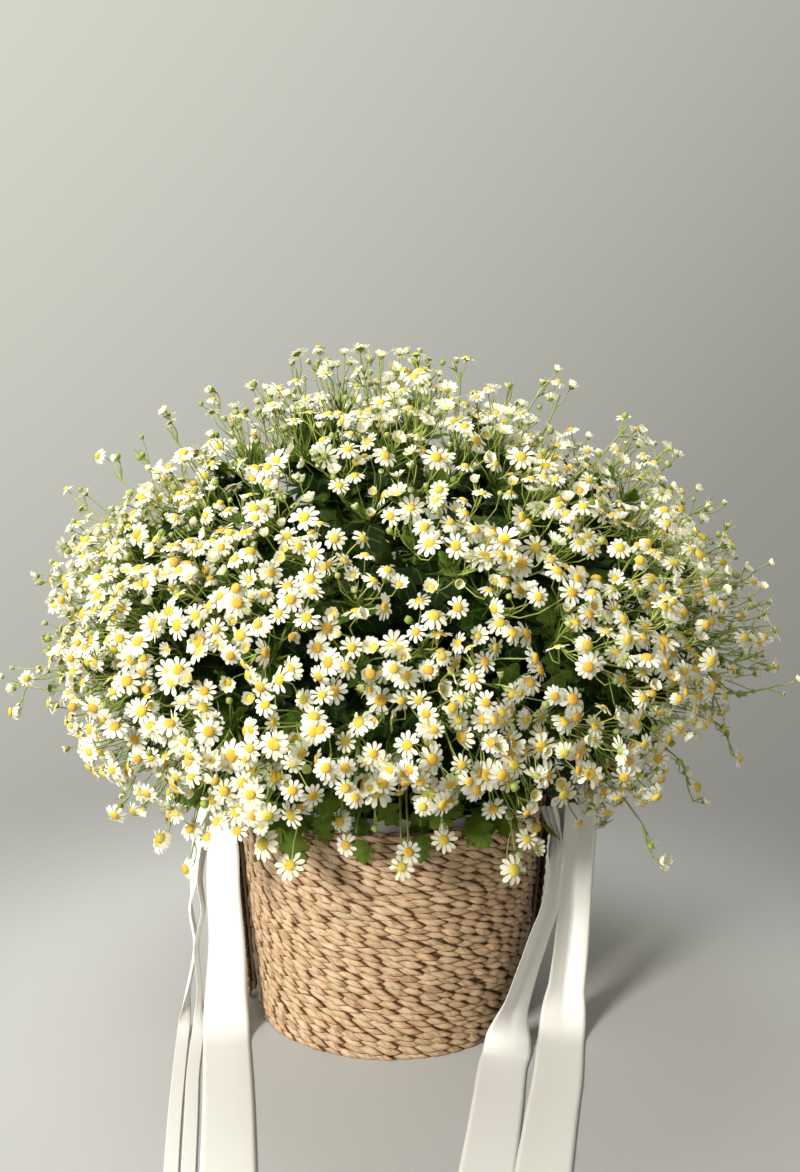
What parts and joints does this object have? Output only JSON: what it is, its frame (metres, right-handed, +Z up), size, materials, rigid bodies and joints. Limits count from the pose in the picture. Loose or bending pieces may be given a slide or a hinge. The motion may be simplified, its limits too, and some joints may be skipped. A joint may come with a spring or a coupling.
{
  "type": "potted feverfew",
  "caption": "Feverfew plant with a dome of small daisy flowers, growing in a lined woven basket with satin ribbons.",
  "frame": {"origin": "centre of the basket's flat base, on the surface that it stands on", "axes": "+Z up, -Y towards the front, where the ribbons' tails run, +X to the right"},
  "size_m": [0.6045, 0.6017, 0.5492],
  "materials": {
    "weave": "dried water hyacinth, twisted and woven",
    "film": "thin translucent film",
    "soil": "moist potting soil",
    "satin": "white satin ribbon",
    "flower": "white petals and green stems",
    "leaf": "soft green leaf"
  },
  "bodies": {
    "root": {"basket": "weave", "side_band_left": "weave", "side_band_right": "weave", "liner": "film", "soil": "soil", "ribbon_right": "satin", "ribbon_left": "satin", "ribbon_narrow": "satin", "flower_spray_01": "flower", "flower_spray_02": "flower", "flower_spray_03": "flower", "flower_spray_04": "flower", "flower_spray_05": "flower", "flower_spray_06": "flower", "flower_spray_07": "flower", "flower_spray_08": "flower", "flower_spray_09": "flower", "flower_spray_10": "flower", "flower_spray_11": "flower", "flower_spray_12": "flower", "flower_spray_13": "flower", "flower_spray_14": "flower", "flower_spray_15": "flower", "flower_spray_16": "flower", "flower_spray_17": "flower", "flower_spray_18": "flower", "flower_spray_19": "flower", "flower_spray_20": "flower", "flower_spray_21": "flower", "flower_spray_22": "flower", "flower_spray_23": "flower", "flower_spray_24": "flower", "flower_spray_25": "flower", "flower_spray_26": "flower", "flower_spray_27": "flower", "flower_spray_28": "flower", "flower_spray_29": "flower", "flower_spray_30": "flower", "flower_spray_31": "flower", "flower_spray_32": "flower", "flower_spray_33": "flower", "flower_spray_34": "flower", "flower_spray_35": "flower", "flower_spray_36": "flower", "flower_spray_37": "flower", "flower_spray_38": "flower", "flower_spray_39": "flower", "flower_spray_40": "flower", "flower_spray_41": "flower", "flower_spray_42": "flower", "leafy_shoot_01": "leaf", "leafy_shoot_02": "leaf", "leafy_shoot_03": "leaf", "leafy_shoot_04": "leaf", "leafy_shoot_05": "leaf", "leafy_shoot_06": "leaf", "leafy_shoot_07": "leaf", "leafy_shoot_08": "leaf"}
  },
  "joints": []
}
